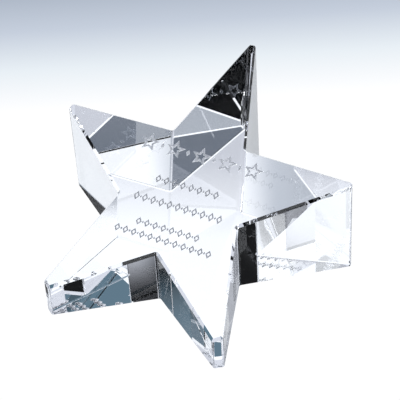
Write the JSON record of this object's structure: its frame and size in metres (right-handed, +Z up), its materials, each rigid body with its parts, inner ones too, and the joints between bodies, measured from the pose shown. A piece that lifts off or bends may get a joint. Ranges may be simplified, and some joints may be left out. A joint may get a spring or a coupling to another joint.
{
  "type": "star award",
  "caption": "Solid clear crystal star lying on its flat bottom, with a sloping polished top face, bevelled edges, blunt points and rows of frosted ornament.",
  "frame": {"origin": "on the surface it rests on, under the centre of the star's outline", "axes": "+Y towards the tall upper point, +X towards the point at its right, +Z up"},
  "size_m": [0.102, 0.096, 0.0501],
  "materials": {
    "crystal": "polished clear optical crystal",
    "etching": "frosted, sand-etched"
  },
  "bodies": {
    "root": {"crystal_star": "crystal", "etched_star_row": "etching", "etched_band_1": "etching", "etched_band_2": "etching", "etched_band_3": "etching", "etched_band_4": "etching"}
  },
  "joints": []
}
